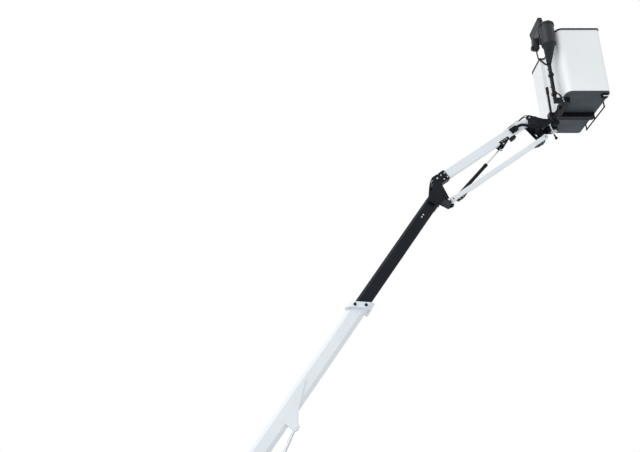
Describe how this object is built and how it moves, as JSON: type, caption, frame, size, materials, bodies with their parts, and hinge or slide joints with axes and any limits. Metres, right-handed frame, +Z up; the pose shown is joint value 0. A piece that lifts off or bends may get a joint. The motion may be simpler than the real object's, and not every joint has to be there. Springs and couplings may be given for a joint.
{
  "type": "telescopic aerial lift with jib and bucket, for mounting on a truck or van",
  "caption": "Pedestal-mounted telescopic boom lift with a levelled jib and a moulded bucket that turns, carrying people up to overhead work.",
  "frame": {"origin": "centre of the pedestal's bolted bottom face", "axes": "+Z up, +X out along the boom at rest, +Y across it"},
  "size_m": [5.9781, 1.3429, 8.5541],
  "materials": {
    "white_paint": "glossy two-pack white paint on steel",
    "black_paint": "satin black paint on steel",
    "grey_paint": "satin dark grey paint on steel",
    "bare_steel": "zinc-plated turned steel",
    "chrome_rod": "hard-chromed cylinder rod",
    "black_nylon": "cast black nylon",
    "white_gelcoat": "white gelcoat on glass-fibre laminate",
    "slate_grp": "dark slate painted glass fibre",
    "black_rubber": "extruded rubber edge trim",
    "dark_moulding": "dark grey moulded polyethylene"
  },
  "bodies": {
    "pedestal": {"pedestal_column": "grey_paint", "slew_drive": "grey_paint", "slew_motor": "black_paint"},
    "turret": {"slew_race": "bare_steel", "turret_frame": "white_paint", "boom_pivot_pin": "bare_steel", "lift_base_pin": "bare_steel", "valve_cover": "dark_moulding"},
    "lift_cylinder": {"lift_barrel": "black_paint"},
    "lift_piston_rod": {"lift_rod": "chrome_rod"},
    "outer_boom": {"outer_boom_tube": "white_paint", "boom_root": "white_paint", "boom_rear_cap": "black_paint", "lift_bracket": "white_paint", "boom_collar": "white_paint", "wear_pad_caps": "black_nylon", "collar_bracket": "bare_steel", "front_wear_pads": "black_nylon"},
    "inner_boom": {"inner_boom_tube": "black_paint", "rear_wear_pads": "black_nylon", "elbow_head": "black_paint", "jib_pivot_pin": "black_paint", "level_rod_pin": "black_paint"},
    "jib": {"jib_root_socket": "black_paint", "jib_tube": "white_paint", "jib_tip_lug": "black_paint", "jib_ram_lug": "black_paint", "hose_sheath": "black_rubber", "jib_clamp": "black_paint"},
    "levelling_rod": {"level_rod": "white_paint", "level_rod_shoes": "black_paint"},
    "jib_cylinder": {"jib_barrel": "black_paint"},
    "jib_piston_rod": {"jib_rod": "chrome_rod"},
    "tip_head": {"tip_bracket": "black_paint", "jib_tip_pin": "black_paint", "level_tip_pin": "black_paint"},
    "yoke": {"bucket_yoke": "black_paint", "lock_lever": "black_paint"},
    "bucket": {"king_post": "bare_steel", "cross_beam": "black_paint", "side_beam": "black_paint", "mount_post": "black_paint", "bucket_base": "slate_grp", "bucket_shell": "white_gelcoat", "bucket_rim": "black_rubber", "step_rail": "black_paint", "rest_foot": "black_rubber", "console_column": "black_paint", "console_housing": "dark_moulding", "console_guard": "black_paint"}
  },
  "joints": [
    {"name": "slew", "type": "hinge", "parent": "pedestal", "child": "turret", "pos_m": [0, 0, 0.515], "axis": [0, 0, 1], "range_deg": [-225, 225]},
    {"name": "elevation", "type": "hinge", "parent": "turret", "child": "outer_boom", "pos_m": [-0.2, 0, 1.31], "axis": [0, -1, 0], "range_deg": [-55, 20]},
    {"name": "extension", "type": "slide", "parent": "outer_boom", "child": "inner_boom", "axis": [0.5736, 0, 0.8192], "range_m": [-1.75, 0.3]},
    {"name": "jib_raise", "type": "hinge", "parent": "inner_boom", "child": "jib", "pos_m": [2.84089, 0, 5.88646], "axis": [0, -1, 0], "range_deg": [-40, 40]},
    {"name": "bucket_turn", "type": "hinge", "parent": "yoke", "child": "bucket", "pos_m": [4.83011, 0, 6.89314], "axis": [0, 0, 1], "range_deg": [-45, 45]},
    {"name": "lift_cylinder_swing", "type": "hinge", "parent": "turret", "child": "lift_cylinder", "pos_m": [-0.013, 0, 0.65], "axis": [0, -1, 0], "range_deg": [-40.29, 14.65]},
    {"name": "lift_rod_stroke", "type": "slide", "parent": "lift_cylinder", "child": "lift_piston_rod", "axis": [0.4105, 0, 0.9119], "range_m": [-0.59996, 0.21817]},
    {"name": "level_rod_swing", "type": "hinge", "parent": "inner_boom", "child": "levelling_rod", "pos_m": [3.07416, 0, 5.5632], "axis": [0, -1, 0], "range_deg": [-40, 40]},
    {"name": "tip_bracket_swing", "type": "hinge", "parent": "jib", "child": "tip_head", "pos_m": [4.40711, 0, 6.98314], "axis": [0, -1, 0], "range_deg": [-40, 40]},
    {"name": "jib_cylinder_swing", "type": "hinge", "parent": "inner_boom", "child": "jib_cylinder", "pos_m": [3.07416, 0.086, 5.5632], "axis": [0, -1, 0], "range_deg": [-37.6, 37.6]},
    {"name": "jib_rod_stroke", "type": "slide", "parent": "jib_cylinder", "child": "jib_piston_rod", "axis": [0.6709, 0, 0.7415], "range_m": [-0.25831, 0.25831]},
    {"name": "bucket_level", "type": "hinge", "parent": "tip_head", "child": "yoke", "pos_m": [4.60711, 0, 6.89314], "axis": [0, -1, 0], "range_deg": [-20, 55]}
  ],
  "couplings": [
    {"joint": "lift_cylinder_swing", "follows": "elevation", "ratio": 0.7325},
    {"joint": "lift_rod_stroke", "follows": "elevation", "m_per_rad": 0.625},
    {"joint": "level_rod_swing", "follows": "jib_raise", "ratio": 1},
    {"joint": "tip_bracket_swing", "follows": "jib_raise", "ratio": -1},
    {"joint": "jib_cylinder_swing", "follows": "jib_raise", "ratio": 0.94},
    {"joint": "jib_rod_stroke", "follows": "jib_raise", "m_per_rad": 0.37},
    {"joint": "bucket_level", "follows": "elevation", "ratio": -1}
  ]
}
